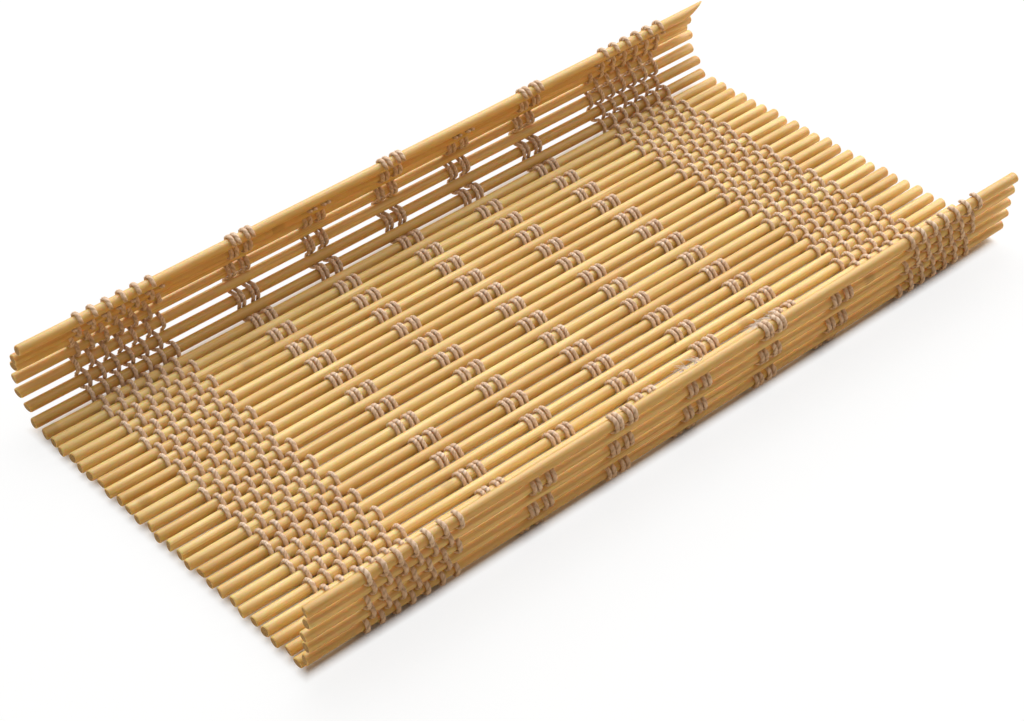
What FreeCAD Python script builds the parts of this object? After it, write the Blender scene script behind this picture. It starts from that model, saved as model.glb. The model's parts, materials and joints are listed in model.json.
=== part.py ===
"""Rolling mat: round bamboo slats laced side by side with cotton threads.

The slats lie along X.  Seen along X, their centres form a chain of equal links, because each
thread keeps its two neighbours one pitch apart.  The chain starts at the free edge of the rear
wall (slat 1, at +Y), runs down the rear curl, forward along the floor and up the front wall to
its free edge (the last slat, at -Y).  Each thread passes over one slat and under the next.

The origin is at the middle of the mat's footprint, on the surface that it lies on.  Millimetres
and degrees.
"""
import FreeCAD
import Part
import math
import os

SIZES = [
    ("slat_count", 38, "slats from the rear edge to the front edge"),
    ("slat_length", 110.0, "length of one slat"),
    ("slat_diameter", 1.4, "diameter of one slat"),
    ("slat_chamfer", 0.12, "broken edge at both ends of a slat"),
    ("end_stagger", 0.2, "most that a slat is shifted along its own length"),
    ("stagger_turn", 137.5, "step of the wave that shifts the slats, per slat"),
    ("thread_diameter", 0.45, "diameter of a lacing thread"),
    ("thread_clearance", 0.05, "room between a thread and the slat that it bends round"),
    ("lacing_slack", 0.05, "room left where a thread crosses between two slats"),
    ("thread_bend", 40.0, "most that a thread turns at one bend round a slat"),
    ("edge_wrap", 215.0, "turn over a free edge of a thread that passes its slat outside"),
    ("edge_tuck", 45.0, "turn at a free edge of a thread that passes its slat inside"),
    ("rear_bend", 20.0, "bend at each slat of the rear curl"),
    ("rear_bend_count", 6, "slats that bend in the rear curl"),
    ("rear_edge_count", 2, "slats of the straight rear edge, above the curl"),
    ("front_fold", 45.0, "bend at the foot of the front wall"),
    ("front_fold_upper", 35.0, "bend at the next slat up the front wall"),
    ("front_wall_count", 5, "slats of the front wall, above its foot"),
    ("wide_band_count", 13, "threads in each wide band"),
    ("wide_pair_gap", 0.26, "room between the two threads of a pair in a wide band"),
    ("wide_band_gap", 0.88, "room between neighbouring pairs of a wide band"),
    ("wide_band_margin", 7.6, "from the end of a slat to the nearest thread"),
    ("narrow_band_total", 5, "narrow bands between the two wide ones"),
    ("narrow_pair_gap", 0.35, "room between the two threads of a pair in a narrow band"),
    ("narrow_middle_gap", 0.8, "room between the two pairs of a narrow band"),
]

doc = FreeCAD.newDocument("RollingMat")
sheet = doc.addObject("Spreadsheet::Sheet", "Sizes")
for row, (alias, value, meaning) in enumerate(SIZES, start=1):
    sheet.set(f"A{row}", meaning)
    sheet.set(f"B{row}", str(value))
    sheet.setAlias(f"B{row}", alias)
doc.recompute()


def size(alias):
    """Value of one driving dimension."""
    return float(sheet.get(alias))


def count(alias):
    """Value of one driving count."""
    return int(round(size(alias)))


SLATS = count("slat_count")
# A thread's centre line bends round a slat at this radius, and its outside at the next one.
WRAP_RADIUS = size("slat_diameter") / 2 + size("thread_clearance") + size("thread_diameter") / 2
OUTER_RADIUS = WRAP_RADIUS + size("thread_diameter") / 2
# Two slats stand just far enough apart for a thread to cross between them.
PITCH = 2 * WRAP_RADIUS + size("lacing_slack")


def slat_bends():
    """Bend of the chain at each slat, keyed by the slat's number, all of them upward."""
    bends = {number: 0.0 for number in range(1, SLATS + 1)}
    first = count("rear_edge_count") + 1
    for number in range(first, first + count("rear_bend_count")):
        bends[number] = size("rear_bend")
    foot = SLATS - count("front_wall_count")
    bends[foot] += size("front_fold")
    bends[foot + 1] += size("front_fold_upper")
    return bends


def slat_centres():
    """Centres (y, z) of the slats, keyed by number, from the first slat at (0, 0)."""
    bends = slat_bends()
    heading = 180.0 + size("rear_bend") * count("rear_bend_count")
    y, z = 0.0, 0.0
    centres = {1: (y, z)}
    for number in range(2, SLATS + 1):
        y += PITCH * math.cos(math.radians(heading))
        z += PITCH * math.sin(math.radians(heading))
        centres[number] = (y, z)
        heading -= bends[number]
    return centres


def slat_shifts():
    """Shift of each slat along X, an even wave centred on zero."""
    turn = size("stagger_turn")
    waves = {n: math.sin(math.radians(turn * n)) for n in range(1, SLATS + 1)}
    middle = (max(waves.values()) + min(waves.values())) / 2
    return {n: size("end_stagger") * (wave - middle) for n, wave in waves.items()}


CENTRES = slat_centres()
SHIFTS = slat_shifts()


def point_at(centre, angle, reach):
    """Point round a slat, in the plane of x = 0."""
    y, z = centre
    return FreeCAD.Vector(0, y + reach * math.cos(angle), z + reach * math.sin(angle))


def crossing_angle(number, side):
    """Angle at which a thread on the given side leaves a slat for the next one."""
    (y0, z0), (y1, z1) = CENTRES[number], CENTRES[number + 1]
    link = math.atan2(z1 - z0, y1 - y0)
    lean = math.acos(2 * WRAP_RADIUS / math.hypot(y1 - y0, z1 - z0))
    return link - side * lean


def bend_points(centre, start, end, radius):
    """Corners of a line that goes round a slat in straight runs, each one touching the radius."""
    bends = math.ceil(abs(end - start) / math.radians(size("thread_bend")))
    step = (end - start) / bends
    reach = radius / math.cos(step / 2)
    return [point_at(centre, start + step * (k + 0.5), reach) for k in range(bends)]


def edge_turn(side):
    """Turn of a thread round the slat at a free edge, by the side on which it passes that slat."""
    return math.radians(size("edge_tuck") if side == 1 else size("edge_wrap"))


def thread_route(first_side, radius):
    """Corners of a thread along a radius round the slats: side 1 starts on the mat's inner face."""
    side = first_side
    leave = crossing_angle(1, side)
    start = leave - side * edge_turn(side)
    points = [point_at(CENTRES[1], start, radius)]
    points += bend_points(CENTRES[1], start, leave, radius)
    for number in range(2, SLATS):
        arrive = leave + math.pi
        side = -side
        leave = crossing_angle(number, side)
        sweep = side * (leave - arrive) % math.tau
        points += bend_points(CENTRES[number], arrive, arrive + side * sweep, radius)
    arrive = leave + math.pi
    side = -side
    cut = arrive + side * edge_turn(side)
    points += bend_points(CENTRES[SLATS], arrive, cut, radius)
    points.append(point_at(CENTRES[SLATS], cut, radius))
    return points


def frame_shift():
    """Move that brings the middle of the footprint to the origin and the lowest thread to z = 0."""
    corners = [point for side in (1, -1) for point in thread_route(side, OUTER_RADIUS)]
    middle = (min(point.y for point in corners) + max(point.y for point in corners)) / 2
    return FreeCAD.Vector(0, -middle, -min(point.z for point in corners))


FRAME_SHIFT = frame_shift()
ALONG_X = FreeCAD.Rotation(FreeCAD.Vector(0, 1, 0), 90)


def add_slat(number):
    """One slat: a rod with a broken edge at each end, lying along X."""
    name = f"slat_{number:02d}"
    rod = doc.addObject("Part::Cylinder", f"{name}_rod")
    rod.setExpression("Radius", "Sizes.slat_diameter / 2")
    rod.setExpression("Height", "Sizes.slat_length - 2 * Sizes.slat_chamfer")
    rod.setExpression("Placement.Base.z", "Sizes.slat_chamfer")
    ends = []
    for end in ("left", "right"):
        cone = doc.addObject("Part::Cone", f"{name}_{end}_end")
        narrow, full = ("Radius1", "Radius2") if end == "left" else ("Radius2", "Radius1")
        cone.setExpression(narrow, "Sizes.slat_diameter / 2 - Sizes.slat_chamfer")
        cone.setExpression(full, "Sizes.slat_diameter / 2")
        cone.setExpression("Height", "Sizes.slat_chamfer")
        if end == "right":
            cone.setExpression("Placement.Base.z", "Sizes.slat_length - Sizes.slat_chamfer")
        ends.append(cone)
    slat = doc.addObject("Part::MultiFuse", name)
    slat.Shapes = [rod] + ends
    slat.Label = name
    y, z = CENTRES[number]
    left_end = SHIFTS[number] - size("slat_length") / 2
    slat.Placement = FreeCAD.Placement(FreeCAD.Vector(left_end, y, z) + FRAME_SHIFT, ALONG_X)
    return slat


# The setting of makePipeShell that joins two runs at a sharp corner.
MITRED = 1


def thread_solid(first_side):
    """A round thread along its route in the plane of x = 0, mitred at its corners."""
    wire = Part.makePolygon(thread_route(first_side, WRAP_RADIUS))
    first = wire.Edges[0]
    start = first.valueAt(first.FirstParameter)
    along = first.tangentAt(first.FirstParameter)
    section = Part.Wire(Part.Circle(start, along, size("thread_diameter") / 2).toShape())
    solid = wire.makePipeShell([section], True, False, MITRED)
    area = math.pi * size("thread_diameter") ** 2 / 4
    print(f"thread side {first_side}: length {wire.Length:.2f} mm, "
          f"volume {solid.Volume:.4f} of {area * wire.Length:.4f} mm3")
    return solid


THREADS = {side: thread_solid(side) for side in (1, -1)}


def add_threads(name, places):
    """A group of separate threads, each given by its x and the side of its first slat."""
    threads = []
    for x, side in places:
        thread = THREADS[side].copy()
        thread.translate(FreeCAD.Vector(x, 0, 0) + FRAME_SHIFT)
        threads.append(thread)
    group = doc.addObject("Part::Feature", name)
    group.Label = name
    group.Shape = threads[0] if len(threads) == 1 else Part.makeCompound(threads)
    return group


def wide_band_places(hand):
    """Threads of one wide band from its outer thread inward: hand -1 is left, 1 is right."""
    outer = size("slat_length") / 2 - size("wide_band_margin")
    in_pair = size("thread_diameter") + size("wide_pair_gap")
    pair_step = in_pair + size("thread_diameter") + size("wide_band_gap")
    places = []
    for k in range(count("wide_band_count")):
        pair, second = divmod(k, 2)
        places.append((hand * (outer - pair * pair_step - second * in_pair), -1 if second else 1))
    return places


def narrow_band_places(number):
    """Threads of one narrow band, two pairs that all pass a slat on the same side."""
    inner = wide_band_places(1)[-1][0]
    bands = count("narrow_band_total")
    centre = inner * (2 * number / (bands + 1) - 1)
    near = (size("thread_diameter") + size("narrow_middle_gap")) / 2
    far = near + size("thread_diameter") + size("narrow_pair_gap")
    side = -1 if number % 2 else 1
    return [(centre + offset, side) for offset in (-far, -near, near, far)]


nodes = [add_slat(number) for number in range(1, SLATS + 1)]
for hand, hand_name in ((-1, "left"), (1, "right")):
    places = wide_band_places(hand)
    for first in range(0, len(places), 2):
        nodes.append(add_threads(f"{hand_name}_lacing_{first // 2 + 1}", places[first:first + 2]))
for number in range(1, count("narrow_band_total") + 1):
    nodes.append(add_threads(f"narrow_lacing_{number}", narrow_band_places(number)))

doc.recompute()
failed = [item.Name for item in doc.Objects if {"Invalid", "Error"} & set(item.State)]
failed += [node.Label for node in nodes if node.Shape.isNull() or not node.Shape.isValid()]
if failed:
    raise RuntimeError(f"not built: {failed}")

os.makedirs("parts", exist_ok=True)
for node in nodes:
    node.Shape.exportStep(f"parts/{node.Label}.step")
whole = FreeCAD.BoundBox()
for node in nodes:
    whole.add(node.Shape.BoundBox)
print(f"{len(nodes)} nodes, pitch {PITCH:.3f} mm, "
      f"box {whole.XLength:.2f} x {whole.YLength:.2f} x {whole.ZLength:.2f} mm")
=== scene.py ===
"""Rolling mat of round bamboo slats laced with cotton threads, dressed on its CAD frame.

The slats lie along X.  Meshes are modelled in millimetres and scaled to metres when they are
finished.  Slat 1 is the free edge of the rear curl, the last slat is the free edge of the front
wall, and a thread passes each slat on its inner face (side 1) or its outer face (side -1).
"""
import collections
import json
import math

import bmesh
import bpy
from mathutils import Matrix, Quaternion, Vector, noise
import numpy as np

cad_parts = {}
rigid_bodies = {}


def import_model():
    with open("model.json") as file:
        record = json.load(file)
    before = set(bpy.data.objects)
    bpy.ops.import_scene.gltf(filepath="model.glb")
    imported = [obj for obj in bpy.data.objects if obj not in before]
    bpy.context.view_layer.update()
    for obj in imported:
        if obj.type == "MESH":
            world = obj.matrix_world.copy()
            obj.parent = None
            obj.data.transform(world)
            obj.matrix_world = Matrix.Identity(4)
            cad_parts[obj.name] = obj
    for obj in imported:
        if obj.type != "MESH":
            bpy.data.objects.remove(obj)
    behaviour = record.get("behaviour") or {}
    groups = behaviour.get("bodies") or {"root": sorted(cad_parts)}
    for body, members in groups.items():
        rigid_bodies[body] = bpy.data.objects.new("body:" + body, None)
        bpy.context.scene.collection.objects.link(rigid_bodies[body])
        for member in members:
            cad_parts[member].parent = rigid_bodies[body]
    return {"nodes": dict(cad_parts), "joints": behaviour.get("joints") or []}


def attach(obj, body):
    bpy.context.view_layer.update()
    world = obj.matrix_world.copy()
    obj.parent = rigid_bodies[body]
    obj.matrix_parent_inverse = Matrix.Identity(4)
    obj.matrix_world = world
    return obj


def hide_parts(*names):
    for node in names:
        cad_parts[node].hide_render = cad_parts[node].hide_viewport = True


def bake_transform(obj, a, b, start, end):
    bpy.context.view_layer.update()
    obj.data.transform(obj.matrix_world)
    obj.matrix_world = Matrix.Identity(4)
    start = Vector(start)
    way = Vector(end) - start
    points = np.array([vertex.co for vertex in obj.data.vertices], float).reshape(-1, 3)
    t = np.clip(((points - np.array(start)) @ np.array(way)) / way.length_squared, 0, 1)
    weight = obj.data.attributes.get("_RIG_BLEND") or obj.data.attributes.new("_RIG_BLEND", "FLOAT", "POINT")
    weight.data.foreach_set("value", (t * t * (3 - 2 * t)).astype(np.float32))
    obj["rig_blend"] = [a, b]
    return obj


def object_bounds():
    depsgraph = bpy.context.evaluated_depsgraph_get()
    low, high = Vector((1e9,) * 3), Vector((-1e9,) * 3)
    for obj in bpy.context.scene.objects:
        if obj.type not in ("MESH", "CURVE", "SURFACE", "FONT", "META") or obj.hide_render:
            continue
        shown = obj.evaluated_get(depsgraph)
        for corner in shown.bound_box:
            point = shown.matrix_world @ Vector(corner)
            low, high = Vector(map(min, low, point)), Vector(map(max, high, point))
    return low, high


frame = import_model()

bl_info = {
    "name": "Laced Rolling Mat",
    "version": (1, 0, 0),
    "blender": (4, 5, 0),
    "location": "View3D > Sidebar > Rolling Mat",
    "description": "Bamboo slats, cotton lacing and a studio on the rolling mat's CAD frame",
    "category": "Object",
}

MM = 1000.0
ALONG = Vector((1.0, 0.0, 0.0))
CAD_BOX = [list(corner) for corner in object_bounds()]
SLAT_NODES = sorted(name for name in frame["nodes"] if name.startswith("slat_"))
THREAD_NODES = sorted(name for name in frame["nodes"] if "_lacing_" in name)
LAST = len(SLAT_NODES)


def node_box(node):
    """Lowest and highest corner of a CAD node at rest, in millimetres."""
    corners = [MM * Vector(corner) for corner in frame["nodes"][node].bound_box]
    return corners[0], corners[6]


class SlatSettings(bpy.types.PropertyGroup):
    """Sizes and colours of the bamboo slats."""

    diameter: bpy.props.FloatProperty(
        name="Diameter", description="Thickness of one slat",
        default=0.00142, min=0.0, precision=6, unit="LENGTH")
    end_round: bpy.props.FloatProperty(
        name="End Round", description="Rounding of the sawn ends",
        default=0.00014, min=0.0, precision=6, unit="LENGTH")
    bow: bpy.props.FloatProperty(
        name="Bow", description="Most that a slat strays from a straight line",
        default=0.00007, min=0.0, precision=6, unit="LENGTH")
    flat: bpy.props.FloatProperty(
        name="Flat", description="Share of the thickness lost across the flatter way",
        default=0.03, min=0.0, max=0.5, subtype="FACTOR")
    cut_slope: bpy.props.FloatProperty(
        name="Cut Slope", description="Most that an end is sawn out of square",
        default=math.radians(13.0), subtype="ANGLE")
    tip_slope: bpy.props.FloatProperty(
        name="Tip Slope", description="Slope of the split right-hand tip of the rear edge slat",
        default=math.radians(70.0), subtype="ANGLE")
    tip_turn: bpy.props.FloatProperty(
        name="Tip Turn", description="Side of the rear edge slat on which its split tip is longest",
        default=math.radians(60.0), subtype="ANGLE")
    tip_loss: bpy.props.FloatProperty(
        name="Tip Loss", description="Length that the split took off the middle of the tip",
        default=0.0016, min=0.0, precision=6, unit="LENGTH")
    short_end: bpy.props.FloatProperty(
        name="Short End", description="Length missing from the right-hand ends of the next two slats",
        default=0.0014, min=0.0, precision=6, unit="LENGTH")
    straw: bpy.props.FloatVectorProperty(
        name="Straw", description="Colour of a pale slat",
        default=(0.80, 0.585, 0.22), size=3, min=0.0, max=1.0, subtype="COLOR")
    amber: bpy.props.FloatVectorProperty(
        name="Amber", description="Colour of a dark slat and of the dark fibres",
        default=(0.64, 0.34, 0.05), size=3, min=0.0, max=1.0, subtype="COLOR")
    sawn: bpy.props.FloatVectorProperty(
        name="Sawn End", description="Colour of the sawn ends",
        default=(0.50, 0.31, 0.12), size=3, min=0.0, max=1.0, subtype="COLOR")


class LacingSettings(bpy.types.PropertyGroup):
    """Sizes and colours of the cotton lacing."""

    width: bpy.props.FloatProperty(
        name="Width", description="Thread's width where it lies flat on a slat",
        default=0.00065, min=0.0, precision=6, unit="LENGTH")
    height: bpy.props.FloatProperty(
        name="Height", description="Thread's thickness across its width",
        default=0.00048, min=0.0, precision=6, unit="LENGTH")
    ply_groove: bpy.props.FloatProperty(
        name="Ply Groove", description="Share of the thread's radius lost between two plies",
        default=0.16, min=0.0, max=0.5, subtype="FACTOR")
    wrap_radius: bpy.props.FloatProperty(
        name="Wrap Radius", description="From a slat's centre to the middle of the thread round it",
        default=0.00094, min=0.0, precision=6, unit="LENGTH")
    cad_diameter: bpy.props.FloatProperty(
        name="CAD Diameter", description="Diameter of the thread solids, to find their middles",
        default=0.00045, min=0.0, precision=6, unit="LENGTH")
    pair_step: bpy.props.FloatProperty(
        name="Pair Step", description="Between the two threads of a pair in a narrow band",
        default=0.00074, min=0.0, precision=6, unit="LENGTH")
    stray: bpy.props.FloatProperty(
        name="Stray", description="Most that a thread wanders sideways from slat to slat",
        default=0.00008, min=0.0, precision=6, unit="LENGTH")
    edge_wrap: bpy.props.FloatProperty(
        name="Edge Wrap", description="Turn over a free edge of a thread that passes outside",
        default=math.radians(215.0), subtype="ANGLE")
    edge_tuck: bpy.props.FloatProperty(
        name="Edge Tuck", description="Turn at a free edge of a thread that passes inside",
        default=math.radians(45.0), subtype="ANGLE")
    hair_length: bpy.props.FloatProperty(
        name="Hair Length", description="Length of the frayed fibres at the front edge",
        default=0.0014, min=0.0, precision=6, unit="LENGTH")
    tan: bpy.props.FloatVectorProperty(
        name="Tan", description="Colour of the cotton",
        default=(0.82, 0.57, 0.39), size=3, min=0.0, max=1.0, subtype="COLOR")
    # Painted shade: the darker colour laid in the grooves between the plies of the cotton.
    ply_shade: bpy.props.FloatVectorProperty(
        name="Brown", description="Colour between the plies of the cotton",
        default=(0.62, 0.41, 0.26), size=3, min=0.0, max=1.0, subtype="COLOR")


class StageSettings(bpy.types.PropertyGroup):
    """Camera, light and floor."""

    camera_place: bpy.props.FloatVectorProperty(
        name="Camera Place", description="Where the camera stands",
        default=(-0.13755, -0.16747, 0.16978), size=3, precision=5, subtype="TRANSLATION")
    camera_target: bpy.props.FloatVectorProperty(
        name="Camera Target", description="Point at the middle of the picture",
        default=(-0.00643, -0.0037, 0.0012), size=3, precision=5, subtype="TRANSLATION")
    camera_roll: bpy.props.FloatProperty(
        name="Camera Roll", description="Turn of the camera about its own line of sight",
        default=math.radians(-3.415), subtype="ANGLE")
    lens: bpy.props.FloatProperty(
        name="Lens", description="Focal length in millimetres on a 36 mm wide sensor",
        default=78.75, min=1.0)
    floor_tone: bpy.props.FloatVectorProperty(
        name="Floor", description="Colour of the floor as the camera sees it",
        default=(0.97, 0.97, 0.97), size=3, min=0.0, max=1.0, subtype="COLOR")
    floor_bounce: bpy.props.FloatVectorProperty(
        name="Floor Bounce", description="Colour with which the floor lights the mat from below",
        default=(0.84, 0.70, 0.50), size=3, min=0.0, max=1.0, subtype="COLOR")
    floor_glow: bpy.props.FloatProperty(
        name="Floor Glow", description="Share of plain white that the camera sees round the mat",
        default=0.85, min=0.0, max=1.0, subtype="FACTOR")
    key_power: bpy.props.FloatProperty(
        name="Key Power", description="Power of the large lamp above",
        default=2.2, min=0.0, unit="POWER")
    side_power: bpy.props.FloatProperty(
        name="Side Power", description="Power of the lamp at the right, along the slats",
        default=0.35, min=0.0, unit="POWER")
    sky: bpy.props.FloatProperty(
        name="Sky", description="Strength of the soft light overhead", default=1.09, min=0.0)
    sky_lean: bpy.props.FloatVectorProperty(
        name="Sky Lean", description="Way to the brightest part of the sky, behind the mat",
        default=(0.22, 0.42, 0.88), size=3, subtype="DIRECTION")
    sky_tone: bpy.props.FloatVectorProperty(
        name="Sky Tone", description="Colour of the soft light",
        default=(1.0, 0.98, 0.94), size=3, min=0.0, max=1.0, subtype="COLOR")


def new_material(name, roughness):
    """Material with one Principled shader, its node tree and that shader."""
    material = bpy.data.materials.new(name)
    material.use_nodes = True
    tree = material.node_tree
    shader = tree.nodes["Principled BSDF"]
    shader.inputs["Roughness"].default_value = roughness
    return material, tree, shader


def add_node(tree, kind, links=(), **settings):
    """One node with its settings, and the sockets or fixed values that feed it."""
    node = tree.nodes.new(kind)
    for key, value in settings.items():
        setattr(node, key, value)
    for socket, source in links:
        if isinstance(source, bpy.types.NodeSocket):
            tree.links.new(source, node.inputs[socket])
        else:
            node.inputs[socket].default_value = source
    return node


def mix_colour(tree, factor, first, second):
    """Colour mix whose inputs are sockets or fixed values."""
    links = [(0, factor), (6, first), (7, second)]
    return add_node(tree, "ShaderNodeMix", links, data_type="RGBA").outputs[2]


def ramp(tree, source, low, high):
    """Factor that rises from 0 to 1 while the source goes from low to high."""
    links = [("Value", source), ("From Min", low), ("From Max", high)]
    return add_node(tree, "ShaderNodeMapRange", links).outputs["Result"]


def solid(colour, gain=1.0, lift=0.0):
    """Fixed colour with its alpha, made brighter or darker."""
    return tuple(min(1.0, channel * gain + lift) for channel in colour) + (1.0,)


def stretched_noise(tree, place, grain, detail, roughness):
    """Noise with its own grain along each axis, in waves per metre."""
    stretch = add_node(tree, "ShaderNodeMapping", [("Vector", place), ("Scale", grain)])
    node = add_node(tree, "ShaderNodeTexNoise", [
        ("Vector", stretch.outputs[0]), ("Scale", 1.0), ("Detail", detail), ("Roughness", roughness)])
    return node.outputs["Fac"]


def add_relief(tree, shader, height, strength, depth):
    """Bump on a shader, with its depth in metres."""
    node = add_node(tree, "ShaderNodeBump", [
        ("Height", height), ("Strength", strength), ("Distance", depth)])
    tree.links.new(node.outputs["Normal"], shader.inputs["Normal"])


# Waves per metre along X, Y and Z of the fibres, the patches and the cut bundles of bamboo.
FIBRE_GRAIN = (28.0, 5200.0, 5200.0)
PATCH_GRAIN = (70.0, 900.0, 900.0)
BUNDLE_GRAIN = (200.0, 5200.0, 5200.0)
# Levels of the noise between which a dark patch, a dark fibre and a bundle fade in.
PATCH_FADE = (0.42, 0.75)
FIBRE_FADE = (0.52, 0.78)
BUNDLE_FADE = (0.15, 0.45)
# Share of amber in the darkest slat and in a patch, and share of the dark ring at a joint.
AGED_AMBER = 0.55
PATCH_AMBER = 0.45
JOINT_DARK = 0.35


def bamboo_material(settings):
    """Straw-yellow bamboo: long fibres, slats of different age and darker joints."""
    material, tree, shader = new_material("bamboo_fibre", 0.42)
    shader.inputs["Specular IOR Level"].default_value = 0.95
    shader.inputs["Subsurface Weight"].default_value = 0.6
    shader.inputs["Subsurface Radius"].default_value = (1.0, 0.38, 0.08)
    shader.inputs["Subsurface Scale"].default_value = 0.001
    place = add_node(tree, "ShaderNodeTexCoord").outputs["Object"]
    fibre = stretched_noise(tree, place, FIBRE_GRAIN, detail=4.0, roughness=0.62)
    patch = stretched_noise(tree, place, PATCH_GRAIN, detail=2.0, roughness=0.5)
    tone = add_node(tree, "ShaderNodeAttribute", attribute_name="tone").outputs["Fac"]
    joint = add_node(tree, "ShaderNodeAttribute", attribute_name="joint").outputs["Fac"]
    straw, amber = solid(settings.straw), solid(settings.amber)
    pale, dark = solid(settings.straw, gain=1.1), solid(settings.amber, gain=0.6)
    aged = mix_colour(tree, tone, pale, mix_colour(tree, AGED_AMBER, straw, amber))
    stained = mix_colour(tree, PATCH_AMBER, straw, amber)
    patched = mix_colour(tree, ramp(tree, patch, *PATCH_FADE), aged, stained)
    streaked = mix_colour(tree, ramp(tree, fibre, *FIBRE_FADE), patched, amber)
    ring = add_node(tree, "ShaderNodeMath", [(0, joint), (1, JOINT_DARK)], operation="MULTIPLY")
    ringed = mix_colour(tree, ring.outputs[0], streaked, dark)
    tree.links.new(ringed, shader.inputs["Base Color"])
    gloss = add_node(tree, "ShaderNodeMapRange", [
        ("Value", patch), ("To Min", 0.34), ("To Max", 0.56)])
    tree.links.new(gloss.outputs["Result"], shader.inputs["Roughness"])
    add_relief(tree, shader, fibre, strength=0.5, depth=0.00006)
    return material


def sawn_material(settings):
    """Sawn end of a slat: darker, with the dots of the cut fibre bundles."""
    material, tree, shader = new_material("bamboo_sawn_end", 0.8)
    place = add_node(tree, "ShaderNodeTexCoord").outputs["Object"]
    across = add_node(tree, "ShaderNodeMapping", [("Vector", place), ("Scale", BUNDLE_GRAIN)])
    cells = add_node(tree, "ShaderNodeTexVoronoi", [("Vector", across.outputs[0]), ("Scale", 1.0)])
    bundles = cells.outputs["Distance"]
    sawn, dark = solid(settings.sawn), solid(settings.sawn, gain=0.45)
    dots = mix_colour(tree, ramp(tree, bundles, *BUNDLE_FADE), dark, sawn)
    tree.links.new(dots, shader.inputs["Base Color"])
    add_relief(tree, shader, bundles, strength=0.6, depth=0.00005)
    return material


# Tone of the frayed fibres; a whole thread's tone is from 0 to 1.
FRAYED_TONE = 2.0
# Levels between which the painted shade in the groove between two plies and the fuzz fade in.
PLY_SHADE_FADE = (0.55, 0.05)
FUZZ_FADE = (0.5, 0.8)


def cotton_material(settings):
    """Tan cotton: plies that wind round the thread, with painted shade in the grooves between them, and a
    pale fuzz.
    """
    material, tree, shader = new_material("cotton_twist", 0.9)
    shader.inputs["Sheen Weight"].default_value = 0.25
    shader.inputs["Sheen Roughness"].default_value = 0.6
    shader.inputs["Specular IOR Level"].default_value = 0.2
    lay = add_node(tree, "ShaderNodeUVMap", uv_map="lay").outputs["UV"]
    plies = add_node(tree, "ShaderNodeTexWave", [
        ("Vector", lay), ("Scale", 0.5), ("Distortion", 1.2), ("Detail", 2.0), ("Detail Scale", 1.5)],
        wave_type="BANDS", bands_direction="DIAGONAL")
    place = add_node(tree, "ShaderNodeTexCoord").outputs["Object"]
    fuzz = add_node(tree, "ShaderNodeTexNoise", [("Vector", place), ("Scale", 3500.0), ("Detail", 4.0)])
    tone = add_node(tree, "ShaderNodeAttribute", attribute_name="tone").outputs["Fac"]
    tan, ply_shade = solid(settings.tan), solid(settings.ply_shade)
    faded = solid(settings.tan, gain=1.05, lift=0.17)
    bleached = solid(faded[:3], gain=0.5, lift=0.5)
    worn = mix_colour(tree, tone, tan, faded)
    # Painted shade: the groove between two plies is darkened, where shade falls.
    groove_shaded = mix_colour(tree, ramp(tree, plies.outputs["Fac"], *PLY_SHADE_FADE), worn, ply_shade)
    fuzzy = mix_colour(tree, ramp(tree, fuzz.outputs["Fac"], *FUZZ_FADE), groove_shaded, faded)
    frayed = mix_colour(tree, ramp(tree, tone, 1.0, FRAYED_TONE), fuzzy, bleached)
    tree.links.new(frayed, shader.inputs["Base Color"])
    add_relief(tree, shader, plies.outputs["Fac"], strength=0.35, depth=0.00008)
    return material


def material_for(name, make, settings):
    """A material by name, made the first time it is asked for."""
    return bpy.data.materials.get(name) or make(settings)


def to_piece(name, bm, materials):
    """Finish a bmesh: outward faces, metres, materials, and an object at the origin."""
    bmesh.ops.recalc_face_normals(bm, faces=bm.faces)
    bmesh.ops.scale(bm, vec=Vector((1 / MM, 1 / MM, 1 / MM)), verts=bm.verts)
    mesh = bpy.data.meshes.new(name)
    bm.to_mesh(mesh)
    bm.free()
    for material in materials:
        mesh.materials.append(material)
    piece = bpy.data.objects.new(name, mesh)
    bpy.context.scene.collection.objects.link(piece)
    return piece


# What a chance decides, so that no two draws for one slat or thread are alike.
AGE, FLAT_SIDE, CUT_TURN, HAS_JOINT, JOINT_TRY, CUT_SLOPE = 1, 2, 3, 4, 5, 6
FADING, FRAY_ALONG, FRAY_IN, FRAY_UP, FRAY_CURL = 11, 20, 21, 22, 23


def chance(piece, decision, draw=0):
    """Repeatable value from 0 to 1 for a slat or thread, by what it decides."""
    # The odd factors put each draw in a cell of its own.
    return noise.cell(Vector((piece * 1.7 + 0.5, decision * 2.3 + 0.5, draw * 3.1 + 0.5)))


def slat_line(node):
    """Left end, right end and centre of a slat, in millimetres."""
    low, high = node_box(node)
    middle = (low + high) / 2
    return low.x, high.x, Vector((0.0, middle.y, middle.z))


CENTRES = [slat_line(node)[2] for node in SLAT_NODES]
# Share of the slats with a bamboo joint, how often a place for it is tried, and how clear it
# stays of the ends, as a share of the slat, and of the lacing, in millimetres.
JOINT_SHARE = 0.2
JOINT_TRIES = 20
JOINT_MARGIN = 0.06
JOINT_CLEAR = 1.5


def joint_place(number, left, right):
    """Where a slat shows a bamboo joint, clear of its ends and of the lacing, or None."""
    if chance(number, HAS_JOINT) > JOINT_SHARE:
        return None
    thread_boxes = [node_box(node) for node in THREAD_NODES]
    for attempt in range(JOINT_TRIES):
        share = JOINT_MARGIN + (1 - 2 * JOINT_MARGIN) * chance(number, JOINT_TRY, attempt)
        x = left + (right - left) * share
        if all(not low.x - JOINT_CLEAR < x < high.x + JOINT_CLEAR for low, high in thread_boxes):
            return x
    return None


SLAT_SIDES = 14
SLAT_CUTS = 26
# From a joint's middle to where it starts to fade and to where it ends, in millimetres, and the
# share by which it swells.
JOINT_HALF = 0.45
JOINT_FADE = 1.1
JOINT_SWELL = 0.05
# Slack for comparing places along a slat, in millimetres.
SLACK = 0.01
# A face of a rod that points along X more than this is a sawn end.
SAWN_FACING = 0.95


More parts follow.
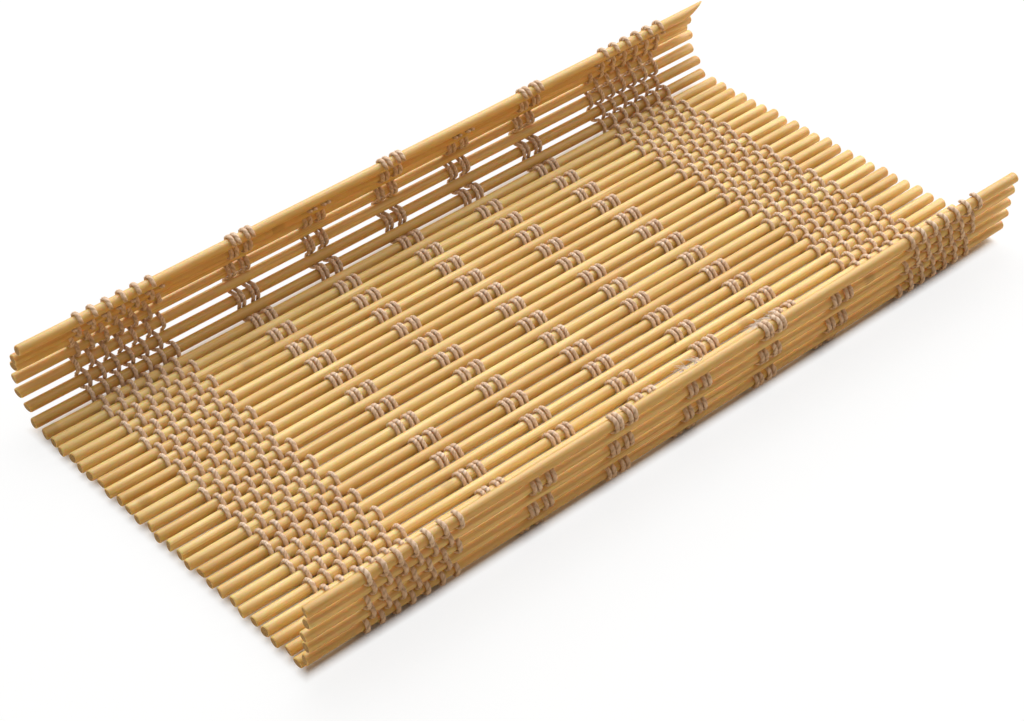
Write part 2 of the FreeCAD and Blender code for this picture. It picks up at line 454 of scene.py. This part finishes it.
def build_slat(number, settings):
    """One slat: a drawn rod, a little flat, bowed and uneven, with rounded sawn ends."""
    node = SLAT_NODES[number - 1]
    left, right, centre = slat_line(node)
    length = right - left
    radius = settings.diameter * MM / 2
    bm = bmesh.new()
    lie_down = Matrix.Translation(((left + right) / 2, 0, 0)) @ Matrix.Rotation(math.pi / 2, 4, "Y")
    bmesh.ops.create_cone(bm, cap_ends=True, cap_tris=False, segments=SLAT_SIDES,
                          radius1=radius, radius2=radius, depth=length, matrix=lie_down)
    rims = [e for e in bm.edges if abs(e.verts[0].co.x - e.verts[1].co.x) < length / 2]
    bmesh.ops.bevel(bm, geom=rims, offset=settings.end_round * MM, offset_type="OFFSET", affect="EDGES",
                    segments=2, profile=0.5, material=-1)
    runs = [e for e in bm.edges if abs(e.verts[0].co.x - e.verts[1].co.x) > length / 2]
    bmesh.ops.subdivide_edges(bm, edges=runs, cuts=SLAT_CUTS)
    joint_x = joint_place(number, left, right)
    if joint_x is not None:
        for shift in (-JOINT_FADE, -JOINT_HALF, JOINT_HALF, JOINT_FADE):
            bmesh.ops.bisect_plane(bm, geom=bm.verts[:] + bm.edges[:] + bm.faces[:], dist=1e-4,
                                   plane_co=(joint_x + shift, 0, 0), plane_no=ALONG)
    for face in bm.faces:
        sawn = abs(face.normal.x) > SAWN_FACING
        face.material_index = 1 if sawn else 0
        face.smooth = not sawn
    shape_slat(bm, number, settings, joint_x)
    bmesh.ops.translate(bm, vec=centre, verts=bm.verts)
    materials = [material_for("bamboo_fibre", bamboo_material, settings),
                 material_for("bamboo_sawn_end", sawn_material, settings)]
    piece = to_piece(f"bamboo_{node}", bm, materials)
    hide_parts(node)
    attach(piece, node)


# Share by which a slat is thicker or thinner here and there, and the waves per millimetre of that
# and of its bow.  Odd factors of its number give each slat waves of its own.
UNEVEN = 0.035
UNEVEN_WAVE = 0.09
BOW_WAVE = 0.028
# Thicknesses of a slat over which an end that is sawn out of square runs out.
CUT_REACH = 3


def end_cut(number, end, settings):
    """Slope along Y and Z of one end of a slat, and the length that it lacks."""
    turn = math.tau * chance(number, CUT_TURN, end + 1)
    slope = math.tan(settings.cut_slope) * chance(number, CUT_SLOPE, end + 1)
    loss = 0.0
    if number == 1 and end == 1:
        turn, slope, loss = settings.tip_turn, math.tan(settings.tip_slope), settings.tip_loss * MM
    elif number in (2, 3) and end == 1:
        loss = settings.short_end * MM
    return slope * math.cos(turn), slope * math.sin(turn), loss


def shape_slat(bm, number, settings, joint_x):
    """Take a slat from a plain rod to a hand-drawn one, and mark its tone and its joint."""
    tone_layer = bm.verts.layers.float.new("tone")
    joint_layer = bm.verts.layers.float.new("joint")
    tone = chance(number, AGE)
    turn = Matrix.Rotation(math.pi * chance(number, FLAT_SIDE), 4, "X")
    press = Matrix.Diagonal((1, 1, 1 - settings.flat, 1))
    bmesh.ops.transform(bm, verts=bm.verts, matrix=turn @ press @ turn.inverted())
    left = min(v.co.x for v in bm.verts)
    right = max(v.co.x for v in bm.verts)
    reach = CUT_REACH * settings.diameter * MM
    cuts = [(edge, end_cut(number, end, settings)) for end, edge in ((-1, left), (1, right))]
    sway = settings.bow * MM
    for vert in bm.verts:
        x, y, z = vert.co
        vert[tone_layer] = tone
        if joint_x is not None and abs(x - joint_x) < JOINT_FADE - SLACK:
            vert[joint_layer] = 1.0
            vert.co.y *= 1 + JOINT_SWELL
            vert.co.z *= 1 + JOINT_SWELL
        uneven = 1 + UNEVEN * noise.noise(Vector((x * UNEVEN_WAVE, number * 5.3, 0.0)))
        vert.co.y *= uneven
        vert.co.z *= uneven
        vert.co.y += sway * noise.noise(Vector((x * BOW_WAVE, number * 3.7, 2.0)))
        vert.co.z += 0.5 * sway * noise.noise(Vector((x * BOW_WAVE, number * 3.7, 9.0)))
        for edge, (slope_y, slope_z, loss) in cuts:
            near = 1 - abs(x - edge) / reach
            if near > 0:
                vert.co.x += near * (slope_y * y + slope_z * z - loss)


class LaySlats(bpy.types.Operator):
    """Replace each plain slat with a drawn bamboo slat"""

    bl_idname = "rolling_mat.lay_slats"
    bl_label = "Lay Slats"

    def execute(self, context):
        for number in range(1, LAST + 1):
            build_slat(number, context.scene.mat_slats)
        return {"FINISHED"}


Turn = collections.namedtuple("Turn", "slat side arrive middle leave")
Thread = collections.namedtuple("Thread", "x first_side number")
# Turn round an edge slat of a thread outside it, up to where its span ends and its loop starts.
EDGE_QUARTER = math.radians(77.0)
RING_SIDES = 6
ARC_STEPS = 3
TWIST_PER_SPAN = 2 * math.tau / 3


def threads(settings):
    """Every lacing thread, with its place along X and the side on which it passes slat 1."""
    found = []
    half = settings.cad_diameter * MM / 2
    for node in THREAD_NODES:
        low, high = node_box(node)
        first, last = low.x + half, high.x - half
        if node.startswith("narrow"):
            side = -1 if int(node[-1]) % 2 else 1
            step = settings.pair_step * MM
            places = [(first, side), (first + step, side), (last - step, side), (last, side)]
        elif last - first < half:
            places = [((first + last) / 2, 1)]
        else:
            outer, inner = (first, last) if node.startswith("left") else (last, first)
            places = [(outer, 1), (inner, -1)]
        found += [Thread(x, side, len(found) + k) for k, (x, side) in enumerate(places)]
    return found


def leave_angle(slat, side, radius):
    """Angle round a slat at which a thread leaves it for the next slat."""
    link = CENTRES[slat] - CENTRES[slat - 1]
    lean = math.acos(min(1.0, 2 * radius / link.length))
    return math.atan2(link.z, link.y) - side * lean


def thread_turns(first_side, settings):
    """How a thread goes round each slat: where it arrives, its middle, and where it leaves."""
    radius = settings.wrap_radius * MM
    turns = []
    side, leave = first_side, None
    for slat in range(1, LAST + 1):
        arrive = None if slat == 1 else leave + math.pi
        leave = None if slat == LAST else leave_angle(slat, side, radius)
        edge_turn = EDGE_QUARTER if side == -1 else settings.edge_tuck
        if arrive is None:
            middle = leave - side * edge_turn
        elif leave is None:
            middle = arrive + side * edge_turn
        else:
            half = (side * (leave - arrive)) % math.tau / 2
            middle = arrive + side * half
            leave = middle + side * half
        turns.append(Turn(slat, side, arrive, middle, leave))
        side = -side
    return turns


def ring_point(slat, angle, settings):
    """Middle of the thread at an angle round a slat."""
    radius = settings.wrap_radius * MM
    return CENTRES[slat - 1] + radius * Vector((0.0, math.cos(angle), math.sin(angle)))


def steps_between(slat, side, start, end, count):
    """Stations of a thread from one angle to another round a slat."""
    return [(slat, side, start + (end - start) * k / count) for k in range(count + 1)]


def ring_edges(ring):
    """Edges that close a ring of vertices."""
    inside = set(ring)
    return list({e for v in ring for e in v.link_edges if e.other_vert(v) in inside})


def lay_tube(bm, stations, settings, twist):
    """A thread of three plies along its stations: turned round each slat, twisted and pressed flat."""
    ring_layer = bm.verts.layers.int["ring"]
    ply_layer = bm.verts.layers.int["ply"]
    slat, _, angle = stations[0]
    radial = Vector((0.0, math.cos(angle), math.sin(angle)))
    basis = Matrix((ALONG, radial, ALONG.cross(radial))).transposed().to_4x4()
    middle = ring_point(slat, angle, settings)
    place = Matrix.Translation(middle) @ basis
    ring = bmesh.ops.create_circle(bm, cap_ends=False, segments=RING_SIDES,
                                   radius=settings.width * MM / 2, matrix=place)["verts"]
    for ply, vert in enumerate(ring):
        vert[ply_layer] = ply
        if ply % 2:
            vert.co = middle + (vert.co - middle) * (1 - settings.ply_groove)
    rings = [ring]
    for (slat, _, angle), (next_slat, _, next_angle) in zip(stations, stations[1:]):
        made = bmesh.ops.extrude_edge_only(bm, edges=ring_edges(ring))["geom"]
        ring = [item for item in made if isinstance(item, bmesh.types.BMVert)]
        if slat == next_slat:
            turn = Matrix.Rotation(next_angle - angle, 3, "X")
            bmesh.ops.rotate(bm, verts=ring, cent=CENTRES[slat - 1], matrix=turn)
        else:
            carry = ring_point(next_slat, next_angle, settings) - ring_point(slat, angle, settings)
            bmesh.ops.translate(bm, verts=ring, vec=carry)
        rings.append(ring)
    for number, (ring, (slat, side, angle)) in enumerate(zip(rings, stations)):
        tangent = side * Vector((0.0, -math.sin(angle), math.cos(angle)))
        turn = Matrix.Rotation(twist * number / (len(rings) - 1), 4, tangent)
        radial = Vector((0.0, math.cos(angle), math.sin(angle)))
        press = Matrix.Scale(settings.height / settings.width, 4, radial)
        middle = Matrix.Translation(ring_point(slat, angle, settings))
        bmesh.ops.transform(bm, verts=ring, matrix=middle @ press @ turn @ middle.inverted())
        for vert in ring:
            vert[ring_layer] = number
    bmesh.ops.contextual_create(bm, geom=ring_edges(rings[0]))
    bmesh.ops.contextual_create(bm, geom=ring_edges(rings[-1]))
    return [vert for ring in rings for vert in ring]


def new_lacing():
    """Empty bmesh with the layers that a thread needs."""
    bm = bmesh.new()
    bm.verts.layers.int.new("ring")
    bm.verts.layers.int.new("ply")
    bm.verts.layers.float.new("tone")
    bm.loops.layers.uv.new("lay")
    return bm


# Lay of the plies from one ring of a thread to the next, and once round it.
LAY_ALONG = 0.6
LAY_ROUND = 2


def mark_lay(bm):
    """Write how far along and round the thread each corner lies, so that the plies wind round it."""
    ring_layer = bm.verts.layers.int["ring"]
    ply_layer = bm.verts.layers.int["ply"]
    lay = bm.loops.layers.uv["lay"]
    for face in bm.faces:
        face.smooth = True
        plies = [vert[ply_layer] for vert in face.verts]
        wraps = max(plies) - min(plies) == RING_SIDES - 1 and len(plies) == 4
        for loop in face.loops:
            ply = loop.vert[ply_layer]
            if wraps and ply == 0:
                ply = RING_SIDES
            loop[lay].uv = (loop.vert[ring_layer] * LAY_ALONG, ply / RING_SIDES * LAY_ROUND)


def stray_at(thread, slat, settings):
    """Sideways wander of a thread at a slat."""
    return settings.stray * MM * noise.noise(Vector((thread.number * 4.71, slat * 0.83, 3.0)))


def copy_threads(bm, pattern, some_threads, slats, rings, settings):
    """Copies of a pattern tube at each thread's place, wandering from one slat to the next."""
    ring_layer = bm.verts.layers.int["ring"]
    tone_layer = bm.verts.layers.float["tone"]
    edges = {edge for vert in pattern for edge in vert.link_edges}
    faces = {face for vert in pattern for face in vert.link_faces}
    source = [*pattern, *edges, *faces]
    for thread in some_threads:
        made = bmesh.ops.duplicate(bm, geom=source)["geom"]
        first = thread.x + stray_at(thread, slats[0], settings)
        last = thread.x + stray_at(thread, slats[1], settings)
        for vert in (item for item in made if isinstance(item, bmesh.types.BMVert)):
            vert.co.x += first + (last - first) * vert[ring_layer] / rings
            vert[tone_layer] = chance(thread.number, FADING)
    bmesh.ops.delete(bm, geom=pattern, context="VERTS")


def drop_layers(bm):
    """Remove the layers that only the modelling needed."""
    for name in ("ring", "ply"):
        bm.verts.layers.int.remove(bm.verts.layers.int[name])


def bend_at(slat):
    """Angle by which the row of slats bends at one slat, at rest."""
    if slat in (1, LAST):
        return 0.0
    return (CENTRES[slat - 1] - CENTRES[slat - 2]).angle(CENTRES[slat] - CENTRES[slat - 1])


def build_span(joint, all_threads, turns, settings):
    """All the threads from the middle of one slat to the middle of the next, bending at their joint."""
    parent, child = (int(joint[key][-2:]) for key in ("parent", "child"))
    slat = min(parent, child)
    bm = new_lacing()
    for first_side in (1, -1):
        here, there = turns[first_side][slat - 1], turns[first_side][slat]
        stations = steps_between(slat, here.side, here.middle, here.leave, ARC_STEPS)
        stations += steps_between(slat + 1, there.side, there.arrive, there.middle, ARC_STEPS)
        pattern = lay_tube(bm, stations, settings, TWIST_PER_SPAN)
        chosen = [thread for thread in all_threads if thread.first_side == first_side]
        copy_threads(bm, pattern, chosen, (slat, slat + 1), len(stations) - 1, settings)
    mark_lay(bm)
    drop_layers(bm)
    cotton = material_for("cotton_twist", cotton_material, settings)
    piece = to_piece(f"cotton_span_{slat:02d}_{slat + 1:02d}", bm, [cotton])
    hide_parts(*THREAD_NODES)
    link = CENTRES[child - 1] - CENTRES[parent - 1]
    radius = settings.wrap_radius * MM
    outside = radius + settings.height * MM / 2
    start = CENTRES[parent - 1] + link.normalized() * outside * math.sin(bend_at(parent) / 2)
    end = CENTRES[parent - 1] + link.normalized() * radius
    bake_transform(piece, joint["parent"], joint["child"], start / MM, end / MM)


class WeaveLacing(bpy.types.Operator):
    """Weave the cotton threads from slat to slat, one span for each joint"""

    bl_idname = "rolling_mat.weave_lacing"
    bl_label = "Weave Lacing"

    def execute(self, context):
        settings = context.scene.mat_lacing
        all_threads = threads(settings)
        turns = {side: thread_turns(side, settings) for side in (1, -1)}
        for joint in frame["joints"]:
            build_span(joint, all_threads, turns, settings)
        return {"FINISHED"}


EDGE_STEPS = 5
HAIR_SIDES = 4
HAIR_STEPS = 3
HAIR_RADIUS = 0.06
HAIR_TAPER = 0.75
# Most that a fibre curls along X from one step to the next, and how it droops, in millimetres.
HAIR_CURL = 0.06
HAIR_DROOP = 0.09
HAIRS_PER_THREAD = 13
FRAYED_BANDS = ("narrow_lacing_3", "narrow_lacing_4")
# From a narrow band's middle to just beyond its outer threads, in millimetres.
BAND_HALF = 2.0
# Angle round the front edge slat, up from its inner face, at which the frayed fibres start, and
# how steeply they rise at least, by the side on which the thread passes that slat.
FRAY_ANGLE = {1: math.radians(20.0), -1: math.radians(50.0)}
FRAY_RISE = {1: 0.4, -1: 0.1}
# Least lean of a fibre along X and inward, and what chance adds along X, inward and up.
FRAY_LEAST = (-0.5, 0.2)
FRAY_MORE = ((0.8, FRAY_ALONG), (0.55, FRAY_IN), (0.3, FRAY_UP))
# Place on the lay of a thread at the pale crown of a ply, clear of the painted shade between the plies.
PLY_CROWN = (0.63, 0.0)


def add_hairs(bm, root, rise, thread, settings):
    """Frayed fibres that stand up and lean inward from a thread's cut end."""
    tone_layer = bm.verts.layers.float["tone"]
    lay = bm.loops.layers.uv["lay"]
    for number in range(HAIRS_PER_THREAD):
        more = [most * chance(thread.number, decision, number) for most, decision in FRAY_MORE]
        lean = Vector((*FRAY_LEAST, rise)) + Vector(more)
        curl = HAIR_CURL * (2 * chance(thread.number, FRAY_CURL, number) - 1)
        step = lean * settings.hair_length * MM / HAIR_STEPS
        place = Matrix.Translation(root) @ lean.to_track_quat("Z", "Y").to_matrix().to_4x4()
        ring = bmesh.ops.create_circle(bm, cap_ends=True, segments=HAIR_SIDES,
                                       radius=HAIR_RADIUS, matrix=place)["verts"]
        hair = list(ring)
        for bend in range(HAIR_STEPS):
            made = bmesh.ops.extrude_edge_only(bm, edges=ring_edges(ring))["geom"]
            ring = [item for item in made if isinstance(item, bmesh.types.BMVert)]
            bmesh.ops.translate(bm, verts=ring, vec=step)
            middle = sum((v.co for v in ring), Vector()) / len(ring)
            to_middle = Matrix.Translation(middle)
            shrink = to_middle @ Matrix.Scale(HAIR_TAPER, 4) @ to_middle.inverted()
            bmesh.ops.transform(bm, verts=ring, matrix=shrink)
            step = step + Vector((curl, 0.0, -HAIR_DROOP * bend))
            hair += ring
        bmesh.ops.contextual_create(bm, geom=ring_edges(ring))
        for vert in hair:
            vert[tone_layer] = FRAYED_TONE
            for loop in vert.link_loops:
                loop[lay].uv = PLY_CROWN


def build_edge(slat, name, all_threads, turns, settings, frayed):
    """The turns of the threads that pass outside the slat at a free edge and go on over the edge."""
    bm = new_lacing()
    first_side = next(side for side in turns if turns[side][slat - 1].side == -1)
    turn = turns[first_side][slat - 1]
    cut = turn.leave + settings.edge_wrap if slat == 1 else turn.arrive - settings.edge_wrap
    stations = steps_between(slat, turn.side, turn.middle, cut, EDGE_STEPS)
    pattern = lay_tube(bm, stations, settings, math.pi)
    chosen = [thread for thread in all_threads if thread.first_side == first_side]
    copy_threads(bm, pattern, chosen, (slat, slat), EDGE_STEPS, settings)
    mark_lay(bm)
    for thread in all_threads:
        if any(abs(thread.x - x) < BAND_HALF for x in frayed):
            side = -1 if thread in chosen else 1
            root = ring_point(slat, FRAY_ANGLE[side], settings) + thread.x * ALONG
            add_hairs(bm, root, FRAY_RISE[side], thread, settings)
    drop_layers(bm)
    cotton = material_for("cotton_twist", cotton_material, settings)
    piece = to_piece(name, bm, [cotton])
    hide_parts(*THREAD_NODES)
    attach(piece, SLAT_NODES[slat - 1])


class BindEdges(bpy.types.Operator):
    """Wind the threads round the slats at the two free edges"""

    bl_idname = "rolling_mat.bind_edges"
    bl_label = "Bind Edges"

    def execute(self, context):
        settings = context.scene.mat_lacing
        all_threads = threads(settings)
        turns = {side: thread_turns(side, settings) for side in (1, -1)}
        frayed = [(low.x + high.x) / 2 for low, high in map(node_box, FRAYED_BANDS)]
        build_edge(1, "cotton_edge_rear", all_threads, turns, settings, [])
        build_edge(LAST, "cotton_edge_front", all_threads, turns, settings, frayed)
        return {"FINISHED"}


def add_lamp(name, power, size, place):
    """Square soft lamp that faces the middle of the mat."""
    data = bpy.data.lights.new(name, "AREA")
    data.energy = power
    data.size = size
    lamp = bpy.data.objects.new(name, data)
    lamp.location = place
    lamp.rotation_euler = (Vector() - Vector(place)).to_track_quat("-Z", "Y").to_euler()
    bpy.context.scene.collection.objects.link(lamp)


WHITE = (1.0, 1.0, 1.0, 1.0)
FLOOR_HALF = 3.0
# How far the walls reach out beyond their feet, in metres.
WALL_OVERHANG = 0.0025
# Distance from the edge of the footprint, in metres, over which the white of the floor fades in.
GLOW_FADE = (-0.001, 0.0005)
# Size and place of each lamp, in metres.
KEY_SIZE = 0.5
KEY_PLACE = (0.22, 0.30, 0.50)
SIDE_SIZE = 0.2
SIDE_PLACE = (0.32, 0.0, 0.17)
SENSOR_WIDTH = 36.0


class SetStage(bpy.types.Operator):
    """Add the pale floor, the soft lamps and the camera"""

    bl_idname = "rolling_mat.set_stage"
    bl_label = "Set Stage"

    def execute(self, context):
        settings = context.scene.mat_stage
        self.add_floor(settings)
        self.add_lights(context, settings)
        self.add_camera(context, settings)
        return {"FINISHED"}

    def add_floor(self, settings):
        """Pale floor that keeps the shadow and turns to white round the mat."""
        bm = bmesh.new()
        bmesh.ops.create_grid(bm, x_segments=2, y_segments=2, size=FLOOR_HALF)
        mesh = bpy.data.meshes.new("floor")
        bm.to_mesh(mesh)
        bm.free()
        material, tree, shader = new_material("pale_floor", 0.6)
        shader.inputs["Specular IOR Level"].default_value = 0.2
        seen = add_node(tree, "ShaderNodeLightPath").outputs["Is Camera Ray"]
        tone = mix_colour(tree, seen, solid(settings.floor_bounce), solid(settings.floor_tone))
        tree.links.new(tone, shader.inputs["Base Color"])
        white = add_node(tree, "ShaderNodeEmission", [("Color", WHITE), ("Strength", 1.0)])
        glow = add_node(tree, "ShaderNodeMath", [
            (0, seen), (1, settings.floor_glow)], operation="MULTIPLY")
        share = add_node(tree, "ShaderNodeMath", [
            (0, glow.outputs[0]), (1, self.outside_footprint(tree))], operation="MULTIPLY")
        mixed = add_node(tree, "ShaderNodeMixShader", [
            (0, share.outputs[0]), (1, shader.outputs[0]), (2, white.outputs[0])])
        tree.links.new(mixed.outputs[0], tree.nodes["Material Output"].inputs["Surface"])
        mesh.materials.append(material)
        floor = bpy.data.objects.new("floor", mesh)
        bpy.context.scene.collection.objects.link(floor)

    def outside_footprint(self, tree):
        """Factor that is 0 under the mat and rises to 1 at its ends and at its walls' feet."""
        half_x, half_y, _ = CAD_BOX[1]
        place = add_node(tree, "ShaderNodeTexCoord").outputs["Object"]
        away = add_node(tree, "ShaderNodeVectorMath", [(0, place)], operation="ABSOLUTE")
        beyond = add_node(tree, "ShaderNodeVectorMath", [
            (0, away.outputs[0]), (1, (half_x, half_y - WALL_OVERHANG, 0.0))], operation="SUBTRACT")
        axes = add_node(tree, "ShaderNodeSeparateXYZ", [(0, beyond.outputs[0])])
        reach = add_node(tree, "ShaderNodeMath", [
            (0, axes.outputs["X"]), (1, axes.outputs["Y"])], operation="MAXIMUM")
        return ramp(tree, reach.outputs[0], *GLOW_FADE)

    def add_lights(self, context, settings):
        """Two soft lamps, and a sky that is brightest behind the mat."""
        add_lamp("key_lamp", settings.key_power, KEY_SIZE, KEY_PLACE)
        add_lamp("side_lamp", settings.side_power, SIDE_SIZE, SIDE_PLACE)
        world = bpy.data.worlds.new("studio")
        world.use_nodes = True
        tree = world.node_tree
        glow = tree.nodes["Background"]
        way = add_node(tree, "ShaderNodeTexCoord").outputs["Generated"]
        toward = add_node(tree, "ShaderNodeVectorMath", [
            (0, way), (1, settings.sky_lean)], operation="DOT_PRODUCT")
        overhead = add_node(tree, "ShaderNodeMapRange", [
            ("Value", toward.outputs["Value"]), ("To Min", 0.0), ("To Max", settings.sky)])
        seen = add_node(tree, "ShaderNodeLightPath").outputs["Is Camera Ray"]
        level = add_node(tree, "ShaderNodeMapRange", [
            ("Value", seen), ("To Min", overhead.outputs["Result"]), ("To Max", 1.0)])
        tone = mix_colour(tree, seen, solid(settings.sky_tone), WHITE)
        tree.links.new(tone, glow.inputs["Color"])
        tree.links.new(level.outputs["Result"], glow.inputs["Strength"])
        context.scene.world = world
        context.scene.view_settings.view_transform = "Standard"

    def add_camera(self, context, settings):
        """Camera that looks at its target, turned about its line of sight."""
        data = bpy.data.cameras.new("camera")
        data.sensor_fit = "HORIZONTAL"
        data.sensor_width = SENSOR_WIDTH
        data.lens = settings.lens
        data.clip_start = 0.01
        camera = bpy.data.objects.new("camera", data)
        place = Vector(settings.camera_place)
        look = (Vector(settings.camera_target) - place).to_track_quat("-Z", "Y")
        camera.location = place
        camera.rotation_euler = (look @ Quaternion((0.0, 0.0, 1.0), settings.camera_roll)).to_euler()
        context.scene.collection.objects.link(camera)
        context.scene.camera = camera


OPERATORS = (LaySlats, WeaveLacing, BindEdges, SetStage)


class RollingMatPanel(bpy.types.Panel):
    """The mat's steps and sizes in the sidebar"""

    bl_idname = "VIEW3D_PT_rolling_mat"
    bl_label = "Rolling Mat"
    bl_space_type = "VIEW_3D"
    bl_region_type = "UI"
    bl_category = "Rolling Mat"

    def draw(self, context):
        for operator in OPERATORS:
            self.layout.operator(operator.bl_idname)
        for group in (context.scene.mat_slats, context.scene.mat_lacing, context.scene.mat_stage):
            box = self.layout.box()
            for name in group.__annotations__:
                box.prop(group, name)


CLASSES = (SlatSettings, LacingSettings, StageSettings, *OPERATORS, RollingMatPanel)


def register():
    """Make the settings, the operators and the panel known to Blender."""
    for item in CLASSES:
        bpy.utils.register_class(item)
    bpy.types.Scene.mat_slats = bpy.props.PointerProperty(type=SlatSettings)
    bpy.types.Scene.mat_lacing = bpy.props.PointerProperty(type=LacingSettings)
    bpy.types.Scene.mat_stage = bpy.props.PointerProperty(type=StageSettings)


def unregister():
    """Take the settings, the operators and the panel away again."""
    del bpy.types.Scene.mat_stage
    del bpy.types.Scene.mat_lacing
    del bpy.types.Scene.mat_slats
    for item in reversed(CLASSES):
        bpy.utils.unregister_class(item)


def main():
    """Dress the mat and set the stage."""
    register()
    bpy.ops.rolling_mat.lay_slats()
    bpy.ops.rolling_mat.weave_lacing()
    bpy.ops.rolling_mat.bind_edges()
    bpy.ops.rolling_mat.set_stage()


if __name__ == "__main__":
    main()
